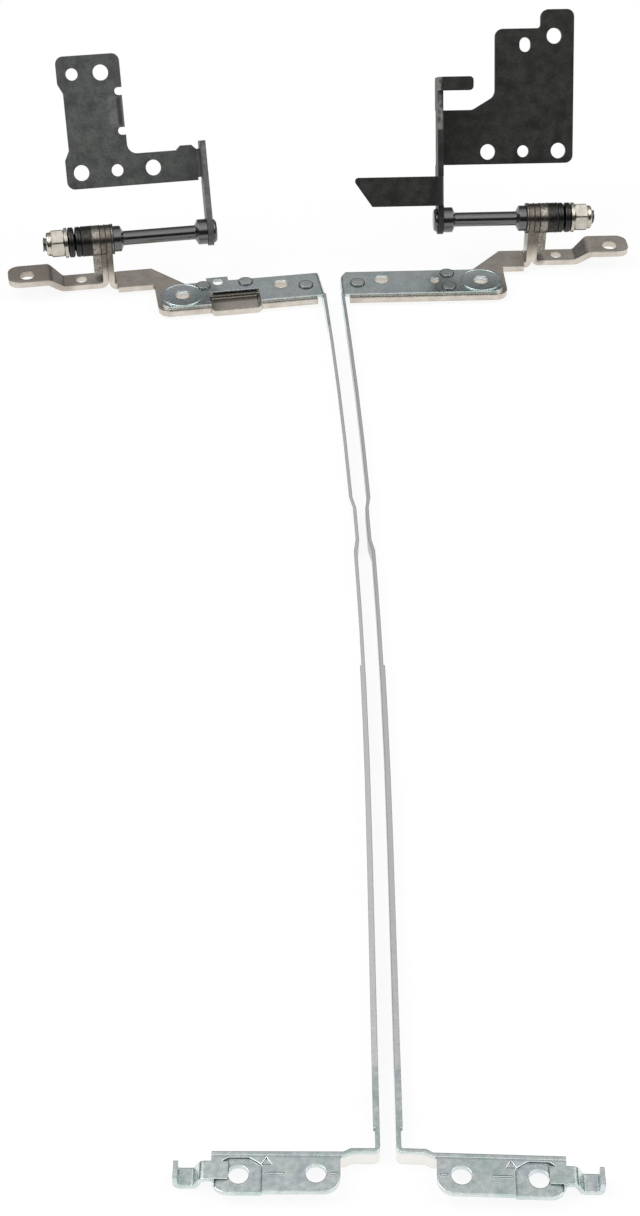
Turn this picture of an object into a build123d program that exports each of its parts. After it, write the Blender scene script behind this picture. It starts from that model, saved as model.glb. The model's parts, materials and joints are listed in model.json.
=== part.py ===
from build123d import *
import math
import os

# A pair of friction hinges for a laptop screen, lying on a table with their base plates swung open.
# Each hinge is built right-handed in its own frame: X runs outwards along the shaft, Y away from the
# long rail, Z up from the table, with the origin under the corner where the rail leaves its end plate.
# The left hinge is then mirrored, and both are turned and set side by side. Millimetres and degrees.

# Sheet and fits
rail_sheet = 0.6
bracket_sheet = 1.2
base_sheet = 1.2
bend_radius = 0.6
running_clearance = 0.05
face_gap = 0.03
seat_clearance = 0.02

# Where the two hinges lie
left_yaw = 9.4
right_yaw = 2.4
corner_gap = 3.3
open_tilt = 63.0

# Rail: end plate, strip on its edge, foot
rail_height = 2.6
end_plate_depth = 9.2
end_plate_front = 0.2
end_plate_reach = 34.6
end_plate_corner = 2.4
strip_length = 208.0
strip_bow_length = 155.0
left_bow_radius = 1775.0
right_bow_radius = 1945.0
left_strip_lead = 4.5
right_strip_lead = 1.9
left_foot_turn = 0.1
right_foot_turn = -1.7
jog_start = 70.8
jog_length = 15.6
jog_ramp = 3.2
jog_depth = 0.5
lip_start = 116.5
lip_end = 205.0
lip_width = 0.85
lip_thickness = 0.7

# Foot at the far end of the rail
foot_bend_radius = 1.0
foot_step_at = 3.4
foot_step_length = 0.9
foot_step_depth = 0.5
foot_plate_start = 4.8
foot_plate_end = 21.2
foot_plate_depth = 5.8
foot_corner = 2.2
foot_hole_inner = 7.9
foot_hole_outer = 17.7
foot_hole_back = 3.2
foot_hole_diameter = 2.6
foot_seat_drop = 0.3
foot_seat_half = 3.0
foot_seat_shoulder = 1.2
foot_seat_top_half = 1.3
foot_seat_round = 0.8
crease_width = 0.25
crease_height = 0.1
crease_inset = 0.4
long_crease_length = 2.4
dart_at = 14.2
dart_width = 1.2
dart_length = 1.0
dart_depth = 0.15
hook_width = 2.6
hook_drop = 1.6
hook_neck_end = 22.4
hook_pad_start = 23.3
hook_end = 25.7
hook_tab_height = 1.9
hook_back = 1.4

# Screw holes shared by the end plate and the lid bracket under it
screw_hole_diameter = 3.2
near_hole_x = 8.8
near_hole_y = 5.9
far_hole_inset = 4.6
far_hole_y = 4.6
pin_hole_diameter = 2.2
pad_radius = 4.2
pad_height = 0.15
rivet_shank_diameter = 1.7
rivet_head_diameter = 2.9
rivet_head_height = 0.3
rivet_foot_diameter = 3.2
end_rivet_x = 3.6
end_rivet_y = 4.6
left_pin_x = 22.0
left_pin_y = 8.8
left_back_rivet_x = 16.1
left_back_rivet_y = 8.0
left_far_rivet_x = 25.2
left_far_rivet_y = 7.8
left_ear_width = 4.6
left_ear_reach = 1.6
left_window_start = 13.8
left_window_end = 24.4
left_window_depth = 5.0
left_pocket_drop = 0.6
left_pocket_ramp = 0.7
left_pocket_inset = 0.8
left_pocket_round = 0.25
left_lip_reach = 0.3
right_pin_x = 20.1
right_pin_y = 5.0
right_rivet_x = 23.0
right_rivet_back_y = 7.8
right_rivet_front_y = 2.4
right_corner_cut_x = 1.3
right_corner_cut_y = 2.0

# Shaft and friction pack, along the shaft from the base bracket's ear
axis_y = 15.0
axis_z = 11.5
left_ear_face = 23.2
right_ear_face = 22.4
shaft_diameter = 3.0
shaft_flats = 2.4
stake_diameter = 2.6
head_diameter = 4.9
head_length = 0.8
collar_diameter = 5.3
collar_length = 2.0
collar_taper = 0.6
flange_diameter = 5.4
flange_length = 1.6
left_pack_start = 43.2
right_pack_start = 40.3
washer_diameter = 6.3
friction_washer_thickness = 0.4
stop_plate_thickness = 1.7
stop_tail_length = 7.4
stop_tail_width = 3.0
stop_boss_diameter = 1.2
stop_boss_drop = 5.6
spring_seat_thickness = 2.0
spring_thickness = 0.6
spring_cone_height = 0.15
spring_outer_round = 0.4
spring_seam_round = 0.06
end_washer_thickness = 0.7
nut_sides = 6
nut_across_flats = 5.5
nut_height = 2.8
nut_face_diameter = 5.2
nut_chamfer = 0.2
nut_chamfer_angle = 30.0
nut_collar_diameter = 4.9
nut_collar_height = 1.0
thread_end_length = 0.7
thread_root_diameter = 2.5
thread_chamfer = 0.35

# Lid bracket and outer foot, bent from the same sheet
lug_radius = 3.1
lid_front = -0.5
lid_back = 8.9
lid_inner_end = 1.8
lid_outer_end = 35.4
lid_arm_front = 11.0
lid_arm_back = 17.8
lid_jog_run = 5.6
lid_corner = 2.6
lid_stem_front = 12.4
lid_stem_back = 17.6
outer_front = 13.4
outer_back = 18.0
outer_slant_start = 11.4
outer_slant_run = 2.8
outer_step = 2.5
outer_end = 22.8
outer_pad_front = 12.1
outer_pad_back = 19.1
outer_pad_corner = 2.4
outer_pin_x = 7.4
outer_pin_y = 15.7
outer_hole_x = 18.8
outer_hole_y = 14.9

# Base brackets, drawn flat: X along the shaft, Y up the plate from the shaft, Z out of its front face
base_offset = 3.0
base_hole_diameter = 3.25
base_pin_diameter = 2.5
base_hole_pitch = 7.6
base_lug_radius = 3.0
base_corner = 1.6
base_fillet = 2.0

left_base_inner = 38.2
left_base_outer = 51.5
left_base_waist = 1.0
left_base_waist_start = 17.7
left_base_waist_end = 31.3
left_base_bottom = 10.7
left_base_top = 37.8
left_arm_top = 17.2
left_row_x = 33.1
left_row_y = 14.0
left_top_hole_x = 42.3
left_top_pin_x = 48.3
left_top_hole_y = 34.1
left_tab_end = 28.0
left_tab_rise = 0.9
left_ear_top = 18.8
left_ear_front = 1.2
left_flange_start = 22.8
left_flange_end = 29.3
left_flange_depth = 2.6
left_notch_radius = 0.8

right_base_inner = 34.0
right_base_outer = 50.8
right_base_bottom = 11.4
right_shoulder_top = 39.3
right_base_top = 43.1
right_top_tab = 43.7
right_arm_top = 22.8
right_arm_slope_x = 29.2
right_arm_slope_y = 25.6
right_row_x = 32.5
right_row_y = 14.0
right_top_hole_x = 46.6
right_top_hole_y = 37.7
right_slot_x = 40.4
right_slot_y = 36.0
right_slot_width = 2.4
right_slot_length = 3.0
right_ear_top = 29.5
right_ear_front = 2.4
right_hook_reach = 6.2
right_hook_width = 2.8
right_leaf_reach = 17.7
right_leaf_bottom = 3.1
right_leaf_top = 9.2
right_leaf_cut_x = 3.6
right_leaf_cut_y = 5.1
right_leaf_nose = 0.7

# Levels and lengths worked out from the sizes above
bracket_top = rail_height - rail_sheet
bracket_bottom = bracket_top - bracket_sheet
bracket_middle = bracket_top - bracket_sheet / 2
mid_bend = bend_radius + bracket_sheet / 2
far_hole_x = end_plate_reach - far_hole_inset
running_bore = shaft_diameter + 2 * running_clearance
through = 4 * rail_height
friction_at = face_gap
inner_ear_at = friction_at + friction_washer_thickness
outer_ear_at = inner_ear_at + bracket_sheet
stop_at = outer_ear_at + bracket_sheet
seat_at = stop_at + stop_plate_thickness + face_gap
spring_at = seat_at + spring_seat_thickness
spring_pitch = spring_thickness + spring_cone_height
spring_count = 4
end_washer_at = spring_at + spring_count * spring_pitch
nut_at = end_washer_at + end_washer_thickness
pack_end = nut_at + nut_height + nut_collar_height + thread_end_length


def disc(diameter, start, length):
    """A round bar along X, centred on the shaft's line at the origin."""
    return Pos(start + length / 2, 0, 0) * Rot(0, 90, 0) * Cylinder(diameter / 2, length)


def on_axis(shape):
    """Moves a shape drawn about the shaft's line to the shaft's place in the hinge."""
    return Pos(0, axis_y, axis_z) * shape


def drill(shape, x, y, diameter):
    """Cuts a round hole straight down through a flat plate."""
    return shape - Pos(x, y, 0) * Cylinder(diameter / 2, 2 * through)


def folded_sheet(points, radius, sheet, low, high):
    """A bent sheet: its middle line is drawn in X and Z, and it runs from low to high along Y."""
    line = FilletPolyline(*points, radius=radius)
    section = Plane.XZ * trace(line, line_width=sheet)
    return Pos(0, low, 0) * extrude(section, amount=-(high - low))


def keyed_bore(start, length, clearance):
    """The double-D core of the shaft, or with a clearance the hole that it turns in a washer."""
    round_core = disc(shaft_diameter + 2 * clearance, start, length)
    flats = Pos(start + length / 2, 0, 0) * Box(length, 2 * shaft_diameter, shaft_flats + 2 * clearance)
    return round_core & flats


# Rail


def strip_point(s, across, lead, turn):
    """The plan position at distance s along the strip, moved across it towards the outer side."""
    bend = turn * min(s, strip_bow_length) / strip_bow_length
    start = math.radians(lead)
    radius = strip_bow_length / math.radians(turn)
    heading = start + math.radians(bend)
    x = rail_sheet / 2 - radius * (math.cos(heading) - math.cos(start))
    y = -radius * (math.sin(heading) - math.sin(start))
    straight = max(0, s - strip_bow_length)
    x += straight * math.sin(heading) + across * math.cos(heading)
    y += -straight * math.cos(heading) + across * math.sin(heading)
    return (x, y)


def strip_edge(across, lead, turn):
    """One long edge of the strip in plan, with its shallow jog towards the other rail."""

    def at(s, shift=0):
        return strip_point(s, across + shift, lead, turn)

    jog_end = jog_start + jog_length
    upper = ThreePointArc(at(0), at(jog_start / 2), at(jog_start))
    jog = Polyline(
        at(jog_start),
        at(jog_start + jog_ramp, -jog_depth),
        at(jog_end - jog_ramp, -jog_depth),
        at(jog_end),
    )
    lower = ThreePointArc(at(jog_end), at((jog_end + strip_bow_length) / 2), at(strip_bow_length))
    straight = Line(at(strip_bow_length), at(strip_length - foot_bend_radius))
    return upper + jog + lower + straight


def rail_strip(lead, turn):
    """The long strip on its edge, with the folded lip along the top of its lower half."""
    half = rail_sheet / 2
    outer = strip_edge(half, lead, turn)
    inner = strip_edge(-half, lead, turn)
    ends = Line(outer @ 0, inner @ 0) + Line(outer @ 1, inner @ 1)
    web = extrude(make_face(outer + inner + ends), amount=rail_height)

    def at(s, across):
        return strip_point(s, across, lead, turn)

    reach = lip_width - half
    bow_middle = (lip_start + strip_bow_length) / 2
    lip_edges = ThreePointArc(at(lip_start, reach), at(bow_middle, reach), at(strip_bow_length, reach))
    lip_edges += Line(at(strip_bow_length, reach), at(lip_end, reach))
    lip_edges += Line(at(lip_end, reach), at(lip_end, 0))
    lip_edges += Line(at(lip_end, 0), at(strip_bow_length, 0))
    lip_edges += ThreePointArc(at(strip_bow_length, 0), at(bow_middle, 0), at(lip_start, 0))
    lip_edges += Line(at(lip_start, 0), at(lip_start, reach))
    lip = Pos(0, 0, rail_height - lip_thickness) * extrude(make_face(lip_edges), amount=lip_thickness)
    return web + lip


def rail_foot(turn):
    """The foot: its wall, the plate folded from the wall's top, the recessed seat and the end hook."""
    middle = rail_sheet / 2
    lean = math.radians(turn)
    turn_line = FilletPolyline(
        (foot_bend_radius * math.sin(lean), foot_bend_radius * math.cos(lean)),
        (0, -middle),
        (foot_step_at, -middle),
        (foot_step_at + foot_step_length, -middle - foot_step_depth),
        (foot_plate_end, -middle - foot_step_depth),
        radius=foot_bend_radius / 2,
    )
    wall = extrude(trace(turn_line, line_width=rail_sheet), amount=rail_height)

    back = -foot_step_depth
    top_line = rail_height - middle
    front = back - foot_plate_depth
    fold_line = FilletPolyline(
        (back - middle, 0),
        (back - middle, top_line),
        (front, top_line),
        radius=bend_radius,
    )
    fold = Plane.YZ * trace(fold_line, line_width=rail_sheet)
    plate = Pos(foot_plate_start, 0, 0) * extrude(fold, amount=foot_plate_end - foot_plate_start)
    outline = Pos((foot_plate_start + foot_plate_end) / 2, (front + back) / 2, 0) * Rectangle(
        foot_plate_end - foot_plate_start, foot_plate_depth
    )
    front_corners = outline.vertices().sort_by(Axis.Y)[:2]
    outline = fillet(front_corners, foot_corner)
    plate = plate & extrude(outline, amount=rail_height)

    hole_y = back - foot_hole_back
    flat_back = back - bend_radius - middle
    seat_left = foot_hole_outer - foot_seat_half
    seat_right = foot_hole_outer + foot_seat_half
    shoulder = hole_y + foot_seat_shoulder
    seat_face = make_face(
        Polyline(
            (seat_left, front),
            (seat_left, shoulder),
            (foot_hole_outer - foot_seat_top_half, flat_back),
            (foot_hole_outer + foot_seat_top_half, flat_back),
            (seat_right, shoulder),
            (seat_right, front),
            close=True,
        )
    )
    upper_corners = seat_face.vertices().sort_by(Axis.Y)[2:]
    seat_face = fillet(upper_corners, foot_seat_round) & outline
    sunk = rail_height - foot_seat_drop - rail_sheet
    plate -= Pos(0, 0, rail_height - rail_sheet) * extrude(seat_face, amount=rail_sheet)
    plate += Pos(0, 0, sunk) * extrude(seat_face, amount=rail_sheet)
    inner_crease = (foot_plate_start + crease_inset, foot_hole_inner - foot_hole_diameter / 2 - crease_inset)
    outer_crease = (seat_left - crease_inset - long_crease_length, seat_left - crease_inset)
    for low, high in (inner_crease, outer_crease):
        plate += Pos((low + high) / 2, hole_y, rail_height) * Box(high - low, crease_width, 2 * crease_height)
    dart = make_face(
        Polyline(
            (dart_at - dart_width / 2, flat_back - dart_length),
            (dart_at + dart_width / 2, flat_back - dart_length),
            (dart_at, flat_back),
            close=True,
        )
    )
    plate -= Pos(0, 0, rail_height - dart_depth) * extrude(dart, amount=rail_sheet)
    plate = drill(plate, foot_hole_inner, hole_y, foot_hole_diameter)
    plate = drill(plate, foot_hole_outer, hole_y, foot_hole_diameter)

    pad_line = top_line - hook_drop
    hook = folded_sheet(
        [
            (foot_plate_end - foot_corner, top_line),
            (hook_neck_end, top_line),
            (hook_pad_start, pad_line),
            (hook_end, pad_line),
            (hook_end, pad_line + hook_tab_height),
        ],
        bend_radius,
        rail_sheet,
        back - hook_back - hook_width,
        back - hook_back,
    )
    return wall + plate + hook


def end_plate(profile):
    """The rail's end plate, cut to its outline, with the wall that folds down from its inner edge."""
    middle = rail_sheet / 2
    fold = folded_sheet(
        [(middle, 0), (middle, rail_height - middle), (end_plate_reach + pad_radius, rail_height - middle)],
        bend_radius,
        rail_sheet,
        0,
        end_plate_depth + left_ear_reach + end_plate_front,
    )
    plate = fold & extrude(profile, amount=rail_height)
    raised = Pos(far_hole_x, far_hole_y, rail_height) * Cylinder(
        pad_radius, 2 * pad_height
    )
    raised = raised & extrude(profile, amount=2 * rail_height)
    plate += raised
    plate = drill(plate, near_hole_x, near_hole_y, screw_hole_diameter)
    return drill(plate, far_hole_x, far_hole_y, screw_hole_diameter)


def plate_outline():
    """The end plate in plan: a long rectangle with rounded corners at the far end."""
    rectangle = Pos(end_plate_reach / 2, (end_plate_front + end_plate_depth) / 2, 0) * Rectangle(
        end_plate_reach, end_plate_depth - end_plate_front
    )
    far_corners = rectangle.vertices().sort_by(Axis.X)[-2:]
    back_corner = far_corners.sort_by(Axis.Y)[-1]
    front_corner = far_corners.sort_by(Axis.Y)[0]
    rounded = fillet(back_corner, pad_radius)
    front_again = rounded.vertices().sort_by_distance(front_corner)[0]
    return fillet(front_again, end_plate_corner)


def rail_shape(side):
    """The whole rail of one hinge: end plate, strip and foot, one piece of plated sheet."""
    lead = left_strip_lead if side == "left" else right_strip_lead
    foot_turn = left_foot_turn if side == "left" else right_foot_turn
    bow_radius = left_bow_radius if side == "left" else -right_bow_radius
    turn = math.degrees(strip_bow_length / bow_radius)
    outline = plate_outline()
    if side == "left":
        outline += Pos(left_pin_x, end_plate_depth, 0) * Rectangle(left_ear_width, 2 * left_ear_reach)
        window = Pos((left_window_start + left_window_end) / 2, 0, 0) * Rectangle(
            left_window_end - left_window_start, 2 * left_window_depth
        )
        outline -= window
    else:
        outline -= make_face(
            Polyline(
                (0, end_plate_depth),
                (right_corner_cut_x, end_plate_depth),
                (0, end_plate_depth - right_corner_cut_y),
                close=True,
            )
        )
    plate = end_plate(outline)
    if side == "left":
        plate = drill(plate, left_pin_x, left_pin_y, pin_hole_diameter)
    else:
        plate = drill(plate, right_pin_x, right_pin_y, pin_hole_diameter)
    for x, y in rivet_places(side):
        plate = drill(plate, x, y, rivet_shank_diameter + 2 * seat_clearance)
    wall_end = Pos(rail_sheet / 2, end_plate_front, rail_height / 2) * Box(
        rail_sheet, 2 * end_plate_front + rail_sheet, rail_height
    )
    end_x, end_y = strip_point(strip_length, 0, lead, turn)
    foot = Pos(end_x, end_y, 0) * Rot(0, 0, lead + turn + foot_turn) * rail_foot(foot_turn)
    return plate + wall_end + rail_strip(lead, turn) + foot


def rivet_places(side):
    """Where the three rivets join the rail's end plate to the lid bracket."""
    if side == "left":
        return [
            (end_rivet_x, end_rivet_y),
            (left_back_rivet_x, left_back_rivet_y),
            (left_far_rivet_x, left_far_rivet_y),
        ]
    return [
        (end_rivet_x, end_rivet_y),
        (right_rivet_x, right_rivet_back_y),
        (right_rivet_x, right_rivet_front_y),
    ]


def rail_rivets(side):
    """Three rivets, each with a low button on top and a thicker foot that reaches the table."""
    foot = Pos(0, 0, bracket_bottom / 2) * Cylinder(rivet_foot_diameter / 2, bracket_bottom)
    grip = rail_height - bracket_bottom
    shank = Pos(0, 0, bracket_bottom + grip / 2) * Cylinder(rivet_shank_diameter / 2, grip)
    head_middle = rail_height + rivet_head_height / 2
    button = Pos(0, 0, head_middle) * Cylinder(rivet_head_diameter / 2, rivet_head_height)
    rim = button.edges().filter_by(GeomType.CIRCLE).sort_by(Axis.Z)[-1]
    button = fillet(rim, rivet_head_height / 2)
    rivet = foot + shank + button
    return [Pos(x, y, 0) * rivet for x, y in rivet_places(side)]


# Lid bracket and outer foot


def pocket_form(level):
    """The pressed-down window floor below a level, with slanted ends and a rounded back edge."""
    inset = left_pocket_ramp
    section = make_face(
        Polyline(
            (left_window_start, level),
            (left_window_start + inset, level - left_pocket_drop),
            (left_window_end - inset, level - left_pocket_drop),
            (left_window_end, level),
            close=True,
        )
    )
    front = lid_front - left_lip_reach
    depth = left_window_depth - left_pocket_inset - front
    form = Pos(0, front, 0) * extrude(Plane.XZ * section, amount=-depth)
    back_edge = form.edges().filter_by(Axis.X).group_by(Axis.Y)[-1].sort_by(Axis.Z)[0]
    return fillet(back_edge, left_pocket_round)


def lid_bracket(side):
    """The inner bracket: a lug on the shaft, a bend, an arm that jogs forward, and the riveted plate."""
    pack = left_pack_start if side == "left" else right_pack_start
    ear_middle = pack + inner_ear_at + bracket_sheet / 2
    bend_out = ear_middle + bracket_sheet / 2
    stem_start = bend_out - bracket_sheet - bend_radius
    sheet = folded_sheet(
        [(ear_middle, axis_z), (ear_middle, bracket_middle), (0, bracket_middle)],
        mid_bend,
        bracket_sheet,
        lid_front - left_lip_reach,
        lid_arm_back,
    )
    jog_x = lid_outer_end - lid_jog_run
    jog_back = jog_x - (lid_arm_front - lid_back)
    outline = make_face(
        Polyline(
            (lid_inner_end, lid_front),
            (lid_outer_end, lid_front),
            (lid_outer_end, lid_arm_front),
            (stem_start, lid_arm_front),
            (stem_start, lid_stem_front),
            (bend_out, lid_stem_front),
            (bend_out, lid_stem_back),
            (stem_start, lid_stem_back),
            (stem_start, lid_arm_back),
            (lid_outer_end, lid_arm_back),
            (jog_back, lid_back),
            (lid_inner_end, lid_back),
            close=True,
        )
    )
    front_corner = outline.vertices().sort_by_distance((lid_outer_end, lid_front, 0))[0]
    outline = fillet(front_corner, lid_corner)
    if side == "left":
        outline += Pos((left_window_start + left_window_end) / 2, lid_front, 0) * Rectangle(
            left_window_end - left_window_start, 2 * left_lip_reach
        )
    bracket = sheet & extrude(outline, amount=2 * axis_z)
    bracket += on_axis(disc(2 * lug_radius, ear_middle - bracket_sheet / 2, bracket_sheet))
    bracket -= on_axis(disc(running_bore, ear_middle - bracket_sheet, 2 * bracket_sheet))
    bracket = drill(bracket, near_hole_x, near_hole_y, screw_hole_diameter)
    bracket = drill(bracket, far_hole_x, far_hole_y, screw_hole_diameter)
    if side == "left":
        bracket = drill(bracket, left_pin_x, left_pin_y, pin_hole_diameter)
        bracket = bracket - pocket_form(bracket_top) + pocket_form(bracket_bottom)
    else:
        bracket = drill(bracket, right_pin_x, right_pin_y, pin_hole_diameter)
    for x, y in rivet_places(side):
        bracket = drill(bracket, x, y, rivet_shank_diameter + 2 * seat_clearance)
    return bracket


def outer_foot(side):
    """The outer bracket: a lug on the shaft, a bend, a narrow step and the wider raised screw pad."""
    pack = left_pack_start if side == "left" else right_pack_start
    ear_middle = pack + outer_ear_at + bracket_sheet / 2
    slant_start = pack + outer_slant_start
    slant_end = slant_start + outer_slant_run
    end = pack + outer_end
    sheet = folded_sheet(
        [
            (ear_middle, axis_z),
            (ear_middle, bracket_middle),
            (slant_start, bracket_middle),
            (slant_end, bracket_middle + outer_step),
            (end, bracket_middle + outer_step),
        ],
        mid_bend,
        bracket_sheet,
        outer_pad_front,
        outer_pad_back,
    )
    outline = make_face(
        Polyline(
            (ear_middle - bracket_sheet, outer_front),
            (slant_start, outer_front),
            (slant_end, outer_pad_front),
            (end, outer_pad_front),
            (end, outer_pad_back),
            (slant_end, outer_pad_back),
            (slant_start, outer_back),
            (ear_middle - bracket_sheet, outer_back),
            close=True,
        )
    )
    outline = fillet(outline.vertices().sort_by(Axis.X)[-2:], outer_pad_corner)
    bracket = sheet & extrude(outline, amount=2 * axis_z)
    bracket += on_axis(disc(2 * lug_radius, ear_middle - bracket_sheet / 2, bracket_sheet))
    boss = disc(stop_boss_diameter, ear_middle, bracket_sheet / 2 + stop_plate_thickness)
    bracket += on_axis(Pos(0, 0, -stop_boss_drop) * boss)
    bracket -= on_axis(disc(running_bore, ear_middle - bracket_sheet, 2 * bracket_sheet))
    bracket = drill(bracket, pack + outer_pin_x, outer_pin_y, base_pin_diameter)
    return drill(bracket, pack + outer_hole_x, outer_hole_y, screw_hole_diameter)


# Friction pack


def stop_plate(side):
    """The fixed friction plate: a ring on the shaft with a tail held by a boss on the outer foot."""
    pack = left_pack_start if side == "left" else right_pack_start
    start = pack + stop_at
    ring = disc(washer_diameter, start, stop_plate_thickness)
    tail = Pos(start + stop_plate_thickness / 2, 0, -stop_tail_length / 2) * Box(
        stop_plate_thickness, stop_tail_width, stop_tail_length
    )
    plate = ring + tail
    before = start - stop_plate_thickness
    plate -= disc(running_bore, before, 3 * stop_plate_thickness)
    boss_hole = disc(stop_boss_diameter + 2 * seat_clearance, before, 3 * stop_plate_thickness)
    return on_axis(plate - Pos(0, 0, -stop_boss_drop) * boss_hole)


def friction_washer(side):
    """The thin washer between the shaft's flange and the lid bracket's lug."""
    pack = left_pack_start if side == "left" else right_pack_start
    start = pack + friction_at
    washer = disc(washer_diameter, start, friction_washer_thickness)
    bore = disc(running_bore, start - face_gap / 2, friction_washer_thickness + face_gap)
    return on_axis(washer - bore)


def keyed_washer(side, at, thickness):
    """A flat washer that the shaft's two flats turn."""
    pack = left_pack_start if side == "left" else right_pack_start
    start = pack + at
    washer = disc(washer_diameter, start, thickness)
    return on_axis(washer - keyed_bore(start - thickness, 3 * thickness, seat_clearance))


def disc_spring(side, number):
    """One conical spring washer. They stand in facing pairs, rim to rim and then bore to bore."""
    pack = left_pack_start if side == "left" else right_pack_start
    start = pack + spring_at + number * spring_pitch
    inner = running_bore / 2
    outer = washer_diameter / 2
    rim_is_high = number % 2 == 0
    inner_low = 0 if rim_is_high else spring_cone_height
    outer_low = spring_cone_height if rim_is_high else 0
    section = make_face(
        Polyline(
            (inner_low, inner),
            (inner_low + spring_thickness, inner),
            (outer_low + spring_thickness, outer),
            (outer_low, outer),
            close=True,
        )
    )
    rim = section.vertices().sort_by(Axis.Y)[-2:].sort_by(Axis.X)
    seam, outside = (rim[1], rim[0]) if rim_is_high else (rim[0], rim[1])
    section = fillet(seam, spring_seam_round)
    section = fillet(section.vertices().sort_by_distance(outside)[0], spring_outer_round)
    spring = revolve(section, Axis.X)
    return on_axis(Pos(start, 0, 0) * spring)


def lock_nut(side):
    """The lock nut: a hexagon with chamfered corners and a round crimped collar."""
    pack = left_pack_start if side == "left" else right_pack_start
    start = pack + nut_at
    hexagon = RegularPolygon(nut_across_flats / 2, nut_sides, major_radius=False)
    body = Plane.YZ * extrude(Rot(0, 0, 180 / nut_sides) * hexagon, amount=nut_height)
    corner = nut_across_flats / math.sqrt(3) + nut_chamfer
    slope_run = (corner - nut_face_diameter / 2) * math.tan(math.radians(nut_chamfer_angle))
    blank = make_face(
        Polyline(
            (0, 0),
            (0, nut_face_diameter / 2),
            (slope_run, corner),
            (nut_height - slope_run, corner),
            (nut_height, nut_face_diameter / 2),
            (nut_height, 0),
            close=True,
        )
    )
    body = Pos(start, 0, 0) * (body & revolve(blank, Axis.X))
    collar = disc(nut_collar_diameter, start + nut_height, nut_collar_height)
    collar = fillet(collar.edges().filter_by(GeomType.CIRCLE).sort_by(Axis.X)[-1], nut_collar_height / 2)
    nut = body + collar
    bore = disc(shaft_diameter + 2 * seat_clearance, start - nut_height, 3 * nut_height)
    return on_axis(nut - bore)


def shaft(side):
    """The shaft: staked head, neck in the base bracket's ear, collar, bar, flange and keyed thread end."""
    pack = left_pack_start if side == "left" else right_pack_start
    ear_face = left_ear_face if side == "left" else right_ear_face
    head_start = ear_face - base_sheet - head_length
    taper_start = ear_face + collar_length
    flange_start = pack - flange_length
    bar = shaft_diameter / 2
    profile = make_face(
        Polyline(
            (head_start, 0),
            (head_start, head_diameter / 2 - head_length / 2),
            (head_start + head_length / 2, head_diameter / 2),
            (head_start + head_length, head_diameter / 2),
            (head_start + head_length, stake_diameter / 2),
            (ear_face, stake_diameter / 2),
            (ear_face, collar_diameter / 2),
            (taper_start, collar_diameter / 2),
            (taper_start + collar_taper, bar),
            (flange_start - collar_taper, bar),
            (flange_start, flange_diameter / 2),
            (pack, flange_diameter / 2),
            (pack, 0),
            close=True,
        )
    )
    body = revolve(profile, Axis.X)
    core = keyed_bore(pack, nut_at, 0)
    in_nut = disc(shaft_diameter, pack + nut_at, nut_height + nut_collar_height)
    tip = disc(thread_root_diameter, pack + nut_at, pack_end - nut_at)
    tip = chamfer(tip.edges().filter_by(GeomType.CIRCLE).sort_by(Axis.X)[-1], thread_chamfer)
    return on_axis(body + core + in_nut + tip)


# Base brackets


def lug_tangent(y, z, way):
    """Where a straight edge from the point (y, z) runs into the ear's round lug."""
    angle = math.atan2(z, y) + way * math.acos(base_lug_radius / math.hypot(y, z))
    return (base_lug_radius * math.cos(angle), base_lug_radius * math.sin(angle))


def ear_blade(ear_face, top, bottom, front):
    """The ear folded from the plate's arm: it narrows to the lug that the shaft is staked in."""
    back = -base_offset - base_sheet / 2
    front_meets = lug_tangent(top, front, 1)
    back_meets = lug_tangent(bottom, back, -1)
    edges = Polyline(front_meets, (top, front), (top, back), (bottom, back), back_meets)
    edges += ThreePointArc(back_meets, (-base_lug_radius, 0), front_meets)
    solid = Plane.YZ * extrude(make_face(edges), amount=base_sheet)
    return Pos(ear_face - base_sheet, 0, 0) * solid


def arm_fold(ear_face, low, high, reach):
    """The rounded inside and outside of the bend between the plate's arm and its ear."""
    middle = ear_face - base_sheet / 2
    plane = -base_offset - base_sheet / 2
    return folded_sheet(
        [(reach, plane), (middle, plane), (middle, plane + 2 * mid_bend)], mid_bend, base_sheet, low, high
    )


def base_plate(outline):
    """A flat plate of the base bracket, its front face set back from the shaft's line."""
    return Pos(0, 0, -base_offset - base_sheet) * extrude(outline, amount=base_sheet)


def trimmed_ear(ear_face, ear, low, high):
    """Takes the square corner off the ear's back edge, where the bend's outer radius is."""
    depth = base_sheet + bend_radius
    corner = Pos(ear_face - base_sheet / 2, (low + high) / 2, -base_offset - base_sheet + depth / 2) * Box(
        2 * base_sheet, high - low, depth
    )
    return ear - corner


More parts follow.
